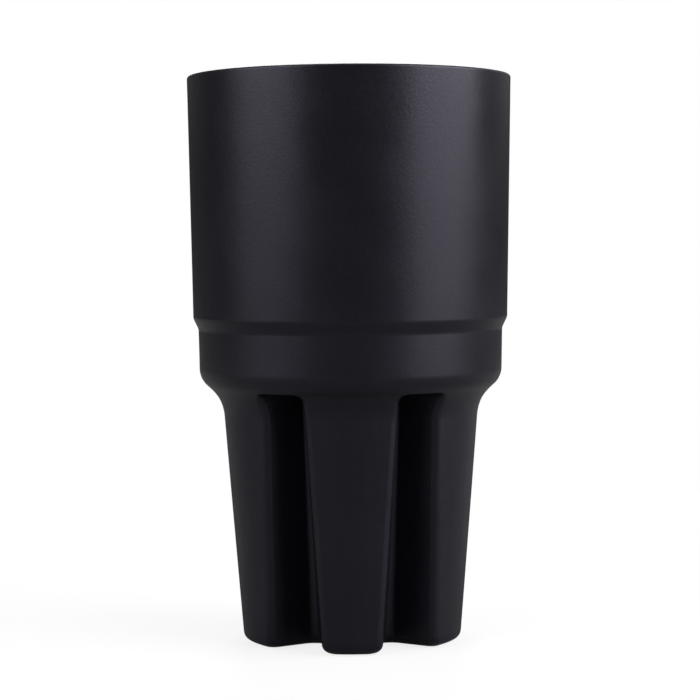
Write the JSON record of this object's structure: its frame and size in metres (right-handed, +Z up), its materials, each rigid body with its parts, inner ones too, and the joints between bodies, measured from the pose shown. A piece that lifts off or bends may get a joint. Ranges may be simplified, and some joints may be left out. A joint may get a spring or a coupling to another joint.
{
  "type": "cup holder expander",
  "caption": "One-piece moulded adapter: a wide stepped cup on a tapered, fluted plug that drops into a car's cup holder so that it takes a large bottle.",
  "frame": {"origin": "centre of the flat base that the plug stands on", "axes": "+Z up along the cup's axis, out of its mouth; one rib of the plug faces -Y"},
  "size_m": [0.1, 0.1, 0.174],
  "materials": {
    "black_plastic": "satin black moulded plastic with a fine spark-eroded texture"
  },
  "bodies": {
    "root": {"expander_body": "black_plastic"}
  },
  "joints": []
}
